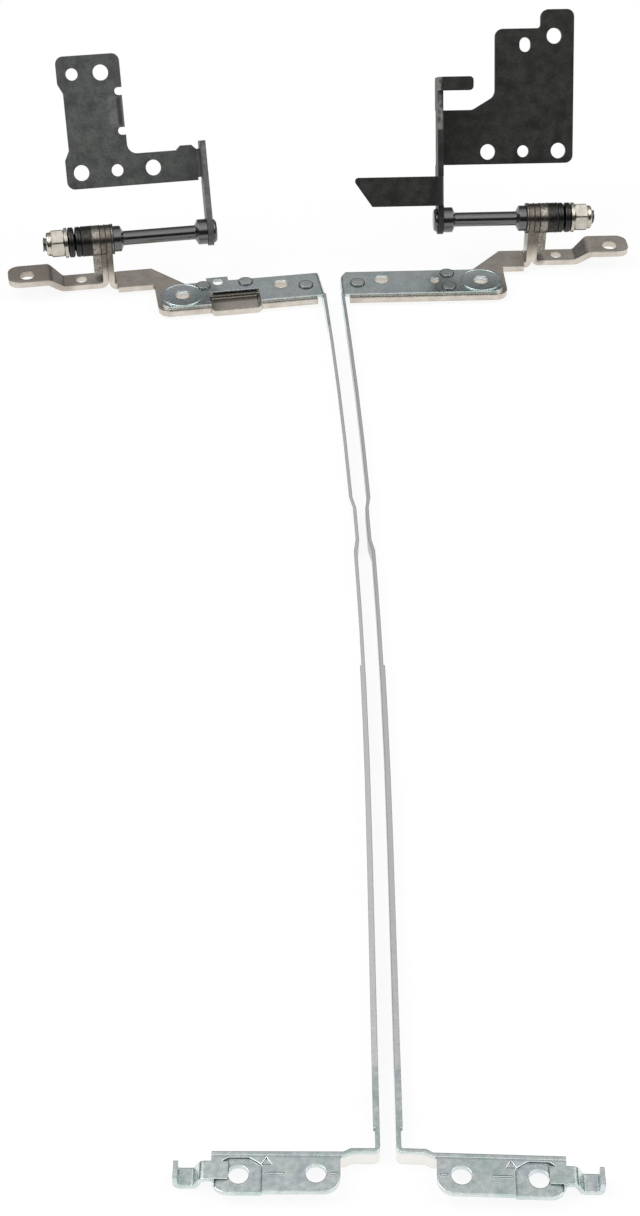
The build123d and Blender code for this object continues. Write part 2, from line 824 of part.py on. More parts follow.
def left_base_bracket():
    """The left base bracket: a waisted plate with five holes, a side flange, an arm and its ear."""
    waist_out = left_base_outer - left_base_waist
    slope = left_base_waist
    ear_face = left_ear_face
    fold_end = ear_face + bend_radius
    outline = make_face(
        Polyline(
            (fold_end, left_base_bottom),
            (left_base_outer, left_base_bottom),
            (left_base_outer, left_base_waist_start - slope),
            (waist_out, left_base_waist_start + slope),
            (waist_out, left_base_waist_end - slope),
            (left_base_outer, left_base_waist_end + slope),
            (left_base_outer, left_base_top),
            (left_base_inner, left_base_top),
            (left_base_inner, left_arm_top),
            (left_tab_end, left_arm_top),
            (left_tab_end - left_tab_rise, left_arm_top + left_tab_rise),
            (fold_end + left_tab_rise, left_arm_top + left_tab_rise),
            (fold_end, left_arm_top),
            close=True,
        )
    )

    def corner_at(x, y):
        return outline.vertices().sort_by_distance((x, y, 0))[0]

    outline = fillet(corner_at(left_base_outer, left_base_bottom), base_corner)
    outline = fillet(corner_at(left_base_outer, left_base_top), base_corner)
    outline = fillet(corner_at(left_base_inner, left_base_top), base_corner)
    outline = fillet(corner_at(left_base_inner, left_arm_top), base_fillet)
    notch = Circle(left_notch_radius) + Pos(-left_notch_radius, 0, 0) * Rectangle(
        2 * left_notch_radius, 2 * left_notch_radius
    )
    notch_x = left_base_inner + left_notch_radius
    outline -= Pos(notch_x, left_flange_end + left_notch_radius, 0) * notch
    outline -= Pos(notch_x, left_flange_start - left_notch_radius, 0) * notch
    bracket = base_plate(outline)

    plane = -base_offset - base_sheet / 2
    flange_x = left_base_inner + base_sheet / 2
    side_flange = folded_sheet(
        [
            (left_base_inner + 3 * base_sheet, plane),
            (flange_x, plane),
            (flange_x, plane - left_flange_depth),
        ],
        mid_bend,
        base_sheet,
        left_flange_start,
        left_flange_end,
    )
    square = Pos(left_base_inner, (left_flange_start + left_flange_end) / 2, plane) * Box(
        2 * (base_sheet + bend_radius), left_flange_end - left_flange_start, 2 * base_sheet
    )
    bracket = bracket - square + side_flange

    ear = ear_blade(ear_face, left_ear_top, left_base_bottom + bend_radius, left_ear_front)
    ear = trimmed_ear(ear_face, ear, left_base_bottom, left_arm_top)
    bracket += ear
    bracket += arm_fold(ear_face, left_base_bottom + bend_radius, left_arm_top, fold_end + base_sheet)
    for step in range(3):
        size = base_pin_diameter if step == 1 else base_hole_diameter
        bracket = drill(bracket, left_row_x + step * base_hole_pitch, left_row_y, size)
    bracket = drill(bracket, left_top_hole_x, left_top_hole_y, base_hole_diameter)
    bracket = drill(bracket, left_top_pin_x, left_top_hole_y, base_pin_diameter)
    return staked(ear_face, bracket)


def right_base_bracket():
    """The right base bracket: a taller plate with a top tab, and an ear with a hook and a long leaf."""
    ear_face = right_ear_face
    fold_end = ear_face + bend_radius
    outline = make_face(
        Polyline(
            (fold_end, right_base_bottom),
            (right_base_outer, right_base_bottom),
            (right_base_outer, right_base_top),
            (right_top_tab, right_base_top),
            (right_top_tab, right_shoulder_top),
            (right_base_inner, right_shoulder_top),
            (right_base_inner, right_arm_slope_y),
            (right_arm_slope_x, right_arm_top),
            (fold_end, right_arm_top),
            close=True,
        )
    )

    def corner_at(x, y):
        return outline.vertices().sort_by_distance((x, y, 0))[0]

    outline = fillet(corner_at(right_base_outer, right_base_bottom), base_corner)
    outline = fillet(corner_at(right_base_outer, right_base_top), base_corner)
    outline = fillet(corner_at(right_top_tab, right_base_top), base_corner)
    outline = fillet(corner_at(right_top_tab, right_shoulder_top), base_corner / 2)
    outline = fillet(corner_at(right_base_inner, right_shoulder_top), base_corner)
    outline = fillet(corner_at(right_base_inner, right_arm_slope_y), base_fillet)
    outline = fillet(corner_at(right_arm_slope_x, right_arm_top), base_fillet)
    slot = SlotOverall(right_slot_length, right_slot_width, rotation=90)
    outline -= Pos(right_slot_x, right_slot_y, 0) * slot
    bracket = base_plate(outline)

    ear_middle = ear_face - base_sheet / 2
    tab_plane = right_ear_front + mid_bend
    hook_bottom = right_ear_top - right_hook_width
    ear = ear_blade(ear_face, right_ear_top, right_base_bottom + bend_radius, right_ear_front)
    ear = trimmed_ear(ear_face, ear, right_base_bottom, right_arm_top)
    for low, high in ((right_leaf_bottom, right_leaf_top), (hook_bottom, right_ear_top)):
        ear -= Pos(ear_middle, (low + high) / 2, right_ear_front + base_sheet) * Box(
            2 * base_sheet, high - low, 2 * base_sheet
        )
    bracket += ear
    bracket += arm_fold(ear_face, right_base_bottom + bend_radius, right_arm_top, fold_end + base_sheet)

    hook_end_x = ear_face + right_hook_reach
    hook = folded_sheet(
        [(ear_middle, 0), (ear_middle, tab_plane), (hook_end_x, tab_plane)],
        mid_bend,
        base_sheet,
        hook_bottom,
        right_ear_top,
    )
    tip_edges = hook.edges().filter_by(Axis.Z).sort_by(Axis.X)[-2:]
    hook = fillet(tip_edges, right_hook_width / 2 - base_sheet / 2)

    leaf_end_x = ear_face - base_sheet - right_leaf_reach
    leaf = folded_sheet(
        [(ear_middle, 0), (ear_middle, tab_plane), (leaf_end_x, tab_plane)],
        mid_bend,
        base_sheet,
        right_leaf_bottom,
        right_leaf_top,
    )
    cut = make_face(
        Polyline(
            (leaf_end_x, right_leaf_bottom),
            (leaf_end_x + right_leaf_cut_x, right_leaf_bottom),
            (leaf_end_x, right_leaf_bottom + right_leaf_cut_y),
            close=True,
        )
    )
    leaf -= extrude(cut, amount=2 * tab_plane)
    for y in (right_leaf_top, right_leaf_bottom + right_leaf_cut_y):
        nose = leaf.edges().filter_by(Axis.Z).sort_by_distance((leaf_end_x, y, tab_plane))[0]
        leaf = fillet(nose, right_leaf_nose)
    bracket += hook + leaf
    for step in range(3):
        size = base_pin_diameter if step == 1 else base_hole_diameter
        bracket = drill(bracket, right_row_x + step * base_hole_pitch, right_row_y, size)
    bracket = drill(bracket, right_top_hole_x, right_top_hole_y, base_hole_diameter)
    return staked(ear_face, bracket)


def staked(ear_face, bracket):
    """Opens the ear for the shaft's neck and swings the flat-drawn bracket up to its open angle."""
    neck = disc(stake_diameter + 2 * seat_clearance, ear_face - 2 * base_sheet, 3 * base_sheet)
    return on_axis(Rot(open_tilt, 0, 0) * (bracket - neck))


# The two hinges


def hinge_pieces(side):
    """Every piece of one hinge in its right-handed frame, by name."""
    pieces = {
        "base_bracket": left_base_bracket() if side == "left" else right_base_bracket(),
        "shaft": shaft(side),
        "lid_bracket": lid_bracket(side),
        "outer_foot": outer_foot(side),
        "rail": rail_shape(side),
        "rail_rivets": rail_rivets(side),
        "friction_washer": friction_washer(side),
        "stop_plate": stop_plate(side),
        "spring_seat": keyed_washer(side, seat_at, spring_seat_thickness),
        "end_washer": keyed_washer(side, end_washer_at, end_washer_thickness),
        "lock_nut": lock_nut(side),
    }
    for number in range(spring_count):
        pieces[f"disc_spring_{number + 1}"] = disc_spring(side, number)
    return pieces


def placed(side, shape):
    """Sets one right-handed piece where its hinge lies beside the other."""
    if side == "left":
        return Rot(0, 0, left_yaw) * mirror(shape, about=Plane.YZ)
    return Pos(corner_gap, 0, 0) * Rot(0, 0, right_yaw) * shape


def solid_list(side, shape):
    """The placed solids of one node: one solid, or a list of like ones."""
    if isinstance(shape, list):
        return [placed(side, one) for one in shape]
    return [placed(side, shape)]


nodes = {}
for side in ("left", "right"):
    for name, shape in hinge_pieces(side).items():
        nodes[f"{side}_{name}"] = solid_list(side, shape)

# The origin is on the table, under the middle of the whole pair's box
whole = Compound([one for solids in nodes.values() for one in solids]).bounding_box()
centre = whole.center()
to_origin = Pos(-centre.X, -centre.Y, -whole.min.Z)

os.makedirs("parts", exist_ok=True)
for name, solids in nodes.items():
    moved = [to_origin * one for one in solids]
    export_step(Compound(moved), f"parts/{name}.step")
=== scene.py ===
import json
import math

import bmesh
import bpy
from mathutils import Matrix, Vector

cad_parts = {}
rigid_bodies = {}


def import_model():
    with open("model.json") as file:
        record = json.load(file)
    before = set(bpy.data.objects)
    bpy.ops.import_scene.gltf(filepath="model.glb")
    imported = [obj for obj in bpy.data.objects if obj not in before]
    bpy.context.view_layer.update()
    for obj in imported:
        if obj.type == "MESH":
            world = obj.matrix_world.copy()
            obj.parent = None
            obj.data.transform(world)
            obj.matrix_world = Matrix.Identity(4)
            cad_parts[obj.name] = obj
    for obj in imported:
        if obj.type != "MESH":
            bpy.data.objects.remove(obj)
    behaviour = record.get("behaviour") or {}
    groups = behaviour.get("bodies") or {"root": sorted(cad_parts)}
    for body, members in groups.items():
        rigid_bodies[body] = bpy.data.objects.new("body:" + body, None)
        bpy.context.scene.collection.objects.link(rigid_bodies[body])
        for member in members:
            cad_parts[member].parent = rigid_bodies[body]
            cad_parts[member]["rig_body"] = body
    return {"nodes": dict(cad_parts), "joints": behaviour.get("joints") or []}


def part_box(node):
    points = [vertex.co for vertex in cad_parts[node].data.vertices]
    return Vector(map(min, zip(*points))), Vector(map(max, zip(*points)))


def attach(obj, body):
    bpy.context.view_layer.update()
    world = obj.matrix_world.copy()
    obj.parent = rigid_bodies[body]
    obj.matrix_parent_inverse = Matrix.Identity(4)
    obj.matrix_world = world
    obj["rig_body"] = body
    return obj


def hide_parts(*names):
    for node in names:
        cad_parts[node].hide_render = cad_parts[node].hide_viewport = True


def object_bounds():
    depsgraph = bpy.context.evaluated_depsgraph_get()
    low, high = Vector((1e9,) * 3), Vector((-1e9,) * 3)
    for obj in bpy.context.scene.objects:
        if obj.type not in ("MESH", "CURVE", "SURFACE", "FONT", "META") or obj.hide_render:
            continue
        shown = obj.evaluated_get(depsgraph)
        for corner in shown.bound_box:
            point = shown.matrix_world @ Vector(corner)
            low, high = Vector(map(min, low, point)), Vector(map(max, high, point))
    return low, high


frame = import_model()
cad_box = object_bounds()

# Base brackets
# The two black plates that screw into the lower case, each with an arm and an ear for its shaft.
# Stamped and folded from 1.2 mm steel sheet, then blackened in a hot oxide bath and oiled.

mm = 0.001
sheet_round = 0.2 * mm


def coat(node_name, material):
    """Gives a CAD solid, whose shape is right, a real finish in place of its plain colour."""
    for slot in frame["nodes"][node_name].material_slots:
        slot.material = material


def colour(code):
    """A colour written as sRGB hex, as the linear values that a shader takes."""
    parts = [int(code[i:i + 2], 16) / 255 for i in (1, 3, 5)]
    linear = [p / 12.92 if p <= 0.04045 else ((p + 0.055) / 1.055) ** 2.4 for p in parts]
    return (*linear, 1.0)


def add(tree, kind, inputs, **settings):
    """Adds a node with its settings; an input is a value, or a socket that is linked to it."""
    node = tree.nodes.new(kind)
    for name, value in settings.items():
        setattr(node, name, value)
    for name, value in inputs.items():
        if isinstance(value, bpy.types.NodeSocket):
            tree.links.new(value, node.inputs[name])
        else:
            node.inputs[name].default_value = value
    return node


def start_material(name):
    """A new material: its tree, its shader, and a place on the piece counted in millimetres."""
    material = bpy.data.materials.new(name)
    material.use_nodes = True
    tree = material.node_tree
    shader = tree.nodes["Principled BSDF"]
    where = add(tree, "ShaderNodeTexCoord", {}).outputs["Object"]
    place = add(tree, "ShaderNodeVectorMath", {0: where, "Scale": 1 / mm}, operation="SCALE")
    return material, tree, shader, place.outputs["Vector"]


def near_stretch(tree, place, start, end, full, none):
    """One up to a full distance in millimetres from a straight stretch, and zero from the none distance."""
    start = Vector(start)
    end = Vector(end)
    half = (end - start).length / 2
    middle = (start + end) / 2
    along = (end - start).normalized()
    away = add(tree, "ShaderNodeVectorMath", {0: place, 1: middle}, operation="SUBTRACT").outputs[0]
    across = add(tree, "ShaderNodeVectorMath", {0: away, 1: along}, operation="CROSS_PRODUCT").outputs[0]
    near = []
    for vector, inner, outer in ((across, full, none), (away, half + full, half + none)):
        distance = add(tree, "ShaderNodeVectorMath", {0: vector}, operation="LENGTH").outputs["Value"]
        fall = add(
            tree,
            "ShaderNodeMapRange",
            {"Value": distance, "From Min": outer, "From Max": inner},
            interpolation_type="SMOOTHSTEP",
        )
        near.append(fall.outputs[0])
    return add(tree, "ShaderNodeMath", {0: near[0], 1: near[1]}, operation="MULTIPLY").outputs[0]


def marked(tree, place, base, marks, corner_shade):
    """A base colour with painted shade in its inner corners, and patchy marks beside each of the given
    stretches: wear, soil, and painted light and shade.

    A mark is a start and an end, the distances at which it is full and gone, its least and most cover,
    and its colour. All lengths are in millimetres.
    """
    # Painted shade: the colour darkens where the surface is shut in by its own nearby faces.
    corner_reach = 0.6 * mm
    shut_in = 0.45
    open_sky = 0.85
    corner = add(tree, "ShaderNodeAmbientOcclusion", {"Distance": corner_reach}, samples=8, only_local=True)
    unshaded = add(
        tree,
        "ShaderNodeMapRange",
        {"Value": corner.outputs["AO"], "From Min": shut_in, "From Max": open_sky},
    )
    base = add(
        tree,
        "ShaderNodeMix",
        {"Factor": unshaded.outputs[0], "A": colour(corner_shade), "B": base.outputs["Result"]},
        data_type="RGBA",
    )
    patch_mm = 0.9
    patches = add(tree, "ShaderNodeTexNoise", {"Vector": place, "Scale": 1 / patch_mm, "Detail": 5.0})
    for start, end, full, none, least, most, tint in marks:
        amount = add(
            tree,
            "ShaderNodeMapRange",
            {
                "Value": patches.outputs["Fac"],
                "From Min": 0.35,
                "From Max": 0.7,
                "To Min": least,
                "To Max": most,
            },
        )
        beside = near_stretch(tree, place, start, end, full, none)
        cover = add(tree, "ShaderNodeMath", {0: beside, 1: amount.outputs[0]}, operation="MULTIPLY")
        base = add(
            tree,
            "ShaderNodeMix",
            {"Factor": cover.outputs[0], "A": base.outputs["Result"], "B": colour(tint)},
            data_type="RGBA",
        )
    return base


def black_oxide(name, dark, pale, gloss, ior, marks):
    """Blackened steel: a thin dull oxide with a fine grain, painted shade in its inner corners, and pale or
    dark marks beside some edges: rubbed wear, painted highlight and painted shade.
    """
    material, tree, shader, place = start_material(name)
    grain_mm = 0.5
    cloud_mm = 2.4
    grain_depth = 0.02 * mm
    dull_share = 0.14
    grain = add(tree, "ShaderNodeTexNoise", {"Vector": place, "Scale": 1 / grain_mm, "Detail": 3.0})
    cloud = add(tree, "ShaderNodeTexNoise", {"Vector": place, "Scale": 1 / cloud_mm, "Detail": 4.0})
    both = add(
        tree, "ShaderNodeMath", {0: grain.outputs["Fac"], 1: cloud.outputs["Fac"]}, operation="MULTIPLY"
    )
    tone = add(tree, "ShaderNodeMapRange", {"Value": both.outputs[0], "From Min": 0.16, "From Max": 0.36})
    base = add(
        tree,
        "ShaderNodeMix",
        {"Factor": tone.outputs[0], "A": colour(dark), "B": colour(pale)},
        data_type="RGBA",
    )
    rough = add(
        tree,
        "ShaderNodeMapRange",
        {
            "Value": cloud.outputs["Fac"],
            "From Min": 0.3,
            "From Max": 0.7,
            "To Min": gloss,
            "To Max": gloss + dull_share,
        },
    )
    wear_and_shade = marked(tree, place, base, marks, "#0c0c0b")
    soft = add(tree, "ShaderNodeBevel", {"Radius": sheet_round}, samples=6)
    bump = add(
        tree,
        "ShaderNodeBump",
        {
            "Height": grain.outputs["Fac"],
            "Strength": 0.25,
            "Distance": grain_depth,
            "Normal": soft.outputs["Normal"],
        },
    )
    shader.inputs["IOR"].default_value = ior
    tree.links.new(wear_and_shade.outputs["Result"], shader.inputs["Base Color"])
    tree.links.new(rough.outputs[0], shader.inputs["Roughness"])
    tree.links.new(bump.outputs["Normal"], shader.inputs["Normal"])
    return material


left_marks = (
    # The first mark is wear rubbed pale on the ear's front edge. The next two paint the tab's flange and the
    # strip beside its bend lighter, as painted highlight, and the last is painted shade along the bend.
    ((-24.4, 105.2, 27.9), (-23.6, 97.0, 15.0), 0.35, 1.0, 0.0, 0.3, "#9c9a96"),
    ((-41.75, 111.9, 34.9), (-41.55, 110.2, 31.0), 0.15, 0.4, 0.1, 0.4, "#8d8b80"),
    ((-43.7, 110.8, 35.2), (-43.3, 108.8, 31.2), 0.4, 1.6, 0.1, 0.4, "#8f918e"),
    ((-42.62, 111.1, 35.3), (-42.2, 109.1, 31.2), 0.2, 0.7, 0.8, 1.0, "#0c0d0c"),
)
right_marks = (
    # The first mark is wear rubbed pale on the ear's front edge; the second is painted shade at the root of
    # the leaf's bend.
    ((24.9, 113.4, 38.9), (25.1, 109.6, 30.0), 0.4, 0.9, 0.1, 0.75, "#9c9a96"),
    ((24.0, 102.9, 20.6), (24.0, 101.0, 16.9), 0.3, 1.6, 0.5, 0.8, "#0c0c0b"),
)
left_black = black_oxide("black_oxide_grey", "#323533", "#494c49", 0.42, 1.8, left_marks)
right_black = black_oxide("black_oxide_deep", "#1b1b19", "#2d2c2a", 0.42, 1.45, right_marks)
coat("left_base_bracket", left_black)
coat("right_base_bracket", right_black)

# Shafts
# A turned steel pin per hinge, staked into the base bracket's ear, with a flange for the friction pack.
# Oiled black oxide over a smooth turned surface, so it shines along its top.

sides = ("left", "right")
turned_round = 0.1 * mm
weld_gap = 0.002 * mm
flat_angle = math.radians(0.5)
edge_angle = math.radians(35)
edge_room = 2.2


def reach_from(edge, face):
    """How far a face goes from one of its edges, across that edge."""
    start = edge.verts[0].co
    along = (edge.verts[1].co - start).normalized()
    return max((vertex.co - start).cross(along).length for vertex in face.verts)


def rounded_copy(node_name, edge_round, material):
    """A piece in the shape of a CAD node, its sharp edges rolled over as tumbled metal's are."""
    source = frame["nodes"][node_name]
    shape = bmesh.new()
    shape.from_mesh(source.data)
    bmesh.ops.remove_doubles(shape, verts=shape.verts, dist=weld_gap)
    bmesh.ops.dissolve_limit(shape, angle_limit=flat_angle, verts=shape.verts, edges=shape.edges)
    weight = shape.edges.layers.float.new("bevel_weight_edge")
    for edge in shape.edges:
        if len(edge.link_faces) == 2 and edge.calc_face_angle() > edge_angle:
            room = min(reach_from(edge, face) for face in edge.link_faces)
            edge[weight] = 1.0 if room > edge_room * edge_round else 0.0
            edge.smooth = edge[weight] > 0
    mesh = bpy.data.meshes.new(f"{node_name}_finished")
    shape.to_mesh(mesh)
    shape.free()
    if "custom_normal" in mesh.attributes:
        mesh.attributes.remove(mesh.attributes["custom_normal"])
    for face in mesh.polygons:
        face.use_smooth = True
    piece = bpy.data.objects.new(f"{node_name}_finished", mesh)
    bpy.context.scene.collection.objects.link(piece)
    roll = piece.modifiers.new("rolled edges", "BEVEL")
    roll.width = edge_round
    roll.segments = 2
    roll.limit_method = "WEIGHT"
    roll.use_clamp_overlap = False
    roll.harden_normals = True
    evaluated = piece.evaluated_get(bpy.context.evaluated_depsgraph_get())
    piece.data = bpy.data.meshes.new_from_object(evaluated)
    piece.modifiers.clear()
    piece.data.materials.clear()
    piece.data.materials.append(material)
    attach(piece, source["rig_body"])
    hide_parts(node_name)


def oiled_black(name, dark, pale, gloss, ior):
    """Turned or pressed steel under oiled black oxide: nearly smooth, with a soft shine."""
    material, tree, shader, place = start_material(name)
    patch_mm = 1.8
    dull_share = 0.12
    patch = add(tree, "ShaderNodeTexNoise", {"Vector": place, "Scale": 1 / patch_mm, "Detail": 4.0})
    tone = add(tree, "ShaderNodeMapRange", {"Value": patch.outputs["Fac"], "From Min": 0.35, "From Max": 0.7})
    base = add(
        tree,
        "ShaderNodeMix",
        {"Factor": tone.outputs[0], "A": colour(dark), "B": colour(pale)},
        data_type="RGBA",
    )
    rough = add(
        tree,
        "ShaderNodeMapRange",
        {
            "Value": patch.outputs["Fac"],
            "From Min": 0.3,
            "From Max": 0.7,
            "To Min": gloss,
            "To Max": gloss + dull_share,
        },
    )
    shader.inputs["IOR"].default_value = ior
    tree.links.new(base.outputs["Result"], shader.inputs["Base Color"])
    tree.links.new(rough.outputs[0], shader.inputs["Roughness"])
    return material


shaft_black = oiled_black("oiled_black_shaft", "#0c0c0d", "#161617", 0.12, 2.2)
for side in sides:
    rounded_copy(f"{side}_shaft", turned_round, shaft_black)

# Threads
# The end of each shaft that stands out of its lock nut has a rolled M3 thread.
# It is cut back to its root in the shaft itself, so the ridge here is what the rolling raised.

thread_pitch = 0.5 * mm
thread_major = 1.5 * mm
thread_root = 1.25 * mm
thread_length = 0.62 * mm


def hinge_line(side):
    """A place on the axis of a side's shaft, and the axis."""
    joint = next(j for j in frame["joints"] if j["name"] == f"{side}_hinge")
    return Vector(joint["pos_m"]), Vector(joint["axis"]).normalized()


def new_tree(name, sockets):
    """An empty geometry tree with its named inputs, and the node at its start."""
    tree = bpy.data.node_groups.new(name, "GeometryNodeTree")
    tree.interface.new_socket("Geometry", in_out="INPUT", socket_type="NodeSocketGeometry")
    for socket_name, socket_type in sockets.items():
        tree.interface.new_socket(socket_name, in_out="INPUT", socket_type=socket_type)
    tree.interface.new_socket("Geometry", in_out="OUTPUT", socket_type="NodeSocketGeometry")
    start = add(tree, "NodeGroupInput", {})
    return tree, start


def made_by_tree(name, tree, start_mesh, values, body):
    """Runs a geometry tree once over a starting mesh and keeps what it makes as a plain mesh."""
    piece = bpy.data.objects.new(name, start_mesh)
    bpy.context.scene.collection.objects.link(piece)
    grown = piece.modifiers.new("grown", "NODES")
    grown.node_group = tree
    for socket in tree.interface.items_tree:
        if socket.in_out == "INPUT" and socket.name in values:
            grown[socket.identifier] = values[socket.name]
    evaluated = piece.evaluated_get(bpy.context.evaluated_depsgraph_get())
    piece.data = bpy.data.meshes.new_from_object(evaluated)
    piece.modifiers.clear()
    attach(piece, body)


thread_tree, start = new_tree(
    "rolled_thread",
    {
        "Radius": "NodeSocketFloat",
        "Length": "NodeSocketFloat",
        "Pitch": "NodeSocketFloat",
        "Ridge": "NodeSocketFloat",
        "Place": "NodeSocketVector",
        "Turn": "NodeSocketRotation",
        "Material": "NodeSocketMaterial",
    },
)
turns = add(
    thread_tree, "ShaderNodeMath", {0: start.outputs["Length"], 1: start.outputs["Pitch"]}, operation="DIVIDE"
)
helix = add(
    thread_tree,
    "GeometryNodeCurveSpiral",
    {
        "Resolution": 48,
        "Rotations": turns.outputs[0],
        "Start Radius": start.outputs["Radius"],
        "End Radius": start.outputs["Radius"],
        "Height": start.outputs["Length"],
    },
)
ridge = add(
    thread_tree,
    "GeometryNodeCurvePrimitiveCircle",
    {"Resolution": 8, "Radius": start.outputs["Ridge"]},
    mode="RADIUS",
)
swept = add(
    thread_tree,
    "GeometryNodeCurveToMesh",
    {"Curve": helix.outputs["Curve"], "Profile Curve": ridge.outputs["Curve"], "Fill Caps": True},
)
put = add(
    thread_tree,
    "GeometryNodeTransform",
    {
        "Geometry": swept.outputs["Mesh"],
        "Translation": start.outputs["Place"],
        "Rotation": start.outputs["Turn"],
    },
)
real = add(thread_tree, "GeometryNodeRealizeInstances", {"Geometry": put.outputs["Geometry"]})
finished = add(
    thread_tree,
    "GeometryNodeSetMaterial",
    {"Geometry": real.outputs["Geometry"], "Material": start.outputs["Material"]},
)
add(thread_tree, "NodeGroupOutput", {"Geometry": finished.outputs["Geometry"]})

for side in sides:
    shaft = frame["nodes"][f"{side}_shaft"]
    pivot, axis = hinge_line(side)
    outward = axis if side == "right" else -axis
    tip = max((vertex.co - pivot).dot(outward) for vertex in shaft.data.vertices)
    turn = outward.to_track_quat("Z", "Y")
    values = {
        "Radius": (thread_major + thread_root) / 2,
        "Length": thread_length,
        "Pitch": thread_pitch,
        "Ridge": (thread_major - thread_root) / 2,
        "Place": pivot + outward * (tip - thread_length),
        "Turn": turn.to_euler(),
        "Material": shaft_black,
    }
    seed_mesh = bpy.data.meshes.new(f"{side}_thread")
    made_by_tree(f"{side}_thread", thread_tree, seed_mesh, values, shaft["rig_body"])

# Lid brackets and outer feet
# The plated brackets on the screen's side: a lug on the shaft, a bend, and a plate to screw down.
# Stamped from 1.2 mm steel sheet and nickel plated, which leaves a warm satin grey with bright edges.


def plated_metal(name, dark, pale, cloud_mm, gloss, edge_round, soil_and_painted_marks=()):
    """A bright metal coat on steel: a cloudy tone, fine grain, painted shade in inner corners, and dark or
    pale marks beside the given lines: soil, and painted light and shade.
    """
    material, tree, shader, place = start_material(name)
    grain_mm = 0.25
    grain_depth = 0.012 * mm
    dull_share = 0.14
    cloud = add(tree, "ShaderNodeTexNoise", {"Vector": place, "Scale": 1 / cloud_mm, "Detail": 5.0})
    grain = add(tree, "ShaderNodeTexNoise", {"Vector": place, "Scale": 1 / grain_mm, "Detail": 2.0})
    tone = add(tree, "ShaderNodeMapRange", {"Value": cloud.outputs["Fac"], "From Min": 0.3, "From Max": 0.7})
    base = add(
        tree,
        "ShaderNodeMix",
        {"Factor": tone.outputs[0], "A": colour(dark), "B": colour(pale)},
        data_type="RGBA",
    )
    base = marked(tree, place, base, soil_and_painted_marks, "#4a463f")
    rough = add(
        tree,
        "ShaderNodeMapRange",
        {
            "Value": grain.outputs["Fac"],
            "From Min": 0.3,
            "From Max": 0.7,
            "To Min": gloss,
            "To Max": gloss + dull_share,
        },
    )
    bump = add(
        tree,
        "ShaderNodeBump",
        {"Height": grain.outputs["Fac"], "Strength": 0.2, "Distance": grain_depth},
    )
    if edge_round:
        soft = add(tree, "ShaderNodeBevel", {"Radius": edge_round}, samples=6)
        tree.links.new(soft.outputs["Normal"], bump.inputs["Normal"])
    shader.inputs["Metallic"].default_value = 1.0
    tree.links.new(base.outputs["Result"], shader.inputs["Base Color"])
    tree.links.new(rough.outputs[0], shader.inputs["Roughness"])
    tree.links.new(bump.outputs["Normal"], shader.inputs["Normal"])
    return material


lugs_from = 9
lugs_to = 15
lug_roots = {
    "left": ((-47.6, 95.9, 2.0), (-47.4, 94.6, 2.0)),
    "right": ((47.4, 104.5, 2.0), (47.6, 102.9, 2.0)),
}
outer_pad = ((-65.0, 94.5, 4.5), (-57.0, 94.5, 4.5))
pocket_middle = Vector((-18.6, 87.6, 1.4))
pocket_half = 6
pocket_sill_shadow = ((-22.5, 88.5, 1.6), (-14.0, 89.9, 1.6))
for side in sides:
    pivot, axis = hinge_line(side)
    pivot = pivot / mm
    outward = axis if side == "right" else -axis
    # Darker within 5 to 9 mm of the shaft along the lugs, and painted shade at each lug's root.
    soil_and_painted_light = [
        (pivot + outward * lugs_from, pivot + outward * lugs_to, 5.0, 9.0, 0.85, 1.0, "#615b52"),
        (*lug_roots[side], 0.3, 1.5, 0.3, 0.9, "#3a3734"),
    ]
    if side == "left":
        # On the left, the outer foot's pad is a little darker, the window's pocket is painted darker as
        # shade, and a painted shadow lies along its sill.
        pocket_shade_stretch = (pocket_middle - axis * pocket_half, pocket_middle + axis * pocket_half)
        soil_and_painted_light += [
            (*outer_pad, 4.0, 6.0, 0.7, 1.0, "#b0a59b"),
            (*pocket_shade_stretch, 0.5, 1.5, 1.0, 1.0, "#86827b"),
            (*pocket_sill_shadow, 0.35, 0.6, 1.0, 1.0, "#2c2a27"),
        ]
    nickel = plated_metal(f"nickel_plated_steel_{side}", "#c6bbaf", "#ded7cd", 2.5, 0.24, sheet_round, soil_and_painted_light)
    for part in ("lid_bracket", "outer_foot"):
        coat(f"{side}_{part}", nickel)

# Rails
# The long rails beside the screen: end plate, strip on its edge and foot, all one folded sheet.
# Stamped from 0.6 mm steel and zinc plated with a blue passivation, so it is a cool mottled grey.

rail_round = 0.2 * mm


